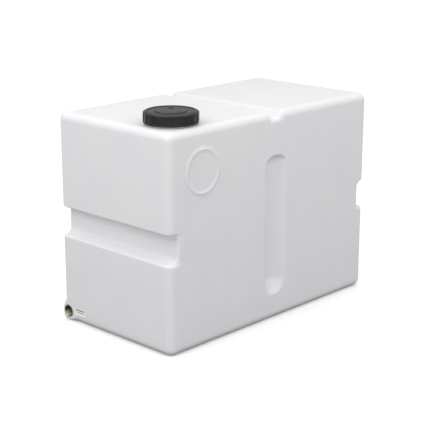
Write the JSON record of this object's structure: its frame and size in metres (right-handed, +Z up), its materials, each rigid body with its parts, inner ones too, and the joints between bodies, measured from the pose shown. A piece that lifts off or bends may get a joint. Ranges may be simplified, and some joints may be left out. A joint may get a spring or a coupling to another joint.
{
  "type": "fresh water tank",
  "caption": "Upright plastic fresh water tank with strap channels, stiffening recesses, a vented screw lid and a threaded brass outlet in a bottom corner.",
  "frame": {"origin": "middle of the base, under the centre of the overall box", "axes": "+X along the length, away from the outlet end; +Y across the width, towards the side the outlet is next to; +Z up"},
  "size_m": [0.7, 0.376, 0.5415],
  "materials": {
    "natural_polyethylene": "translucent natural, satin",
    "black_polypropylene": "moulded satin",
    "black_rubber": "matt",
    "breather_plastic": "fine matt",
    "screen_steel": "woven mesh",
    "brass": "machined, dull",
    "label_vinyl": "printed sticker"
  },
  "bodies": {
    "tank": {"tank_body": "natural_polyethylene", "outlet_insert": "brass", "label": "label_vinyl"},
    "seal": {"lid_seal": "black_rubber"},
    "lid": {"screw_lid": "black_polypropylene", "vent_plug": "breather_plastic", "vent_screen": "screen_steel", "vent_valve": "black_rubber"}
  },
  "joints": [
    {"name": "lid_rise", "type": "slide", "parent": "tank", "child": "seal", "axis": [0, 0, 1], "range_m": [0, 0.0241]},
    {"name": "lid_turn", "type": "hinge", "parent": "seal", "child": "lid", "pos_m": [-0.266, -0.107, 0.5375], "axis": [0, 0, 1], "range_deg": [0, 1080]}
  ],
  "couplings": [
    {"joint": "lid_rise", "follows": "lid_turn", "m_per_rad": 0.0012732}
  ]
}
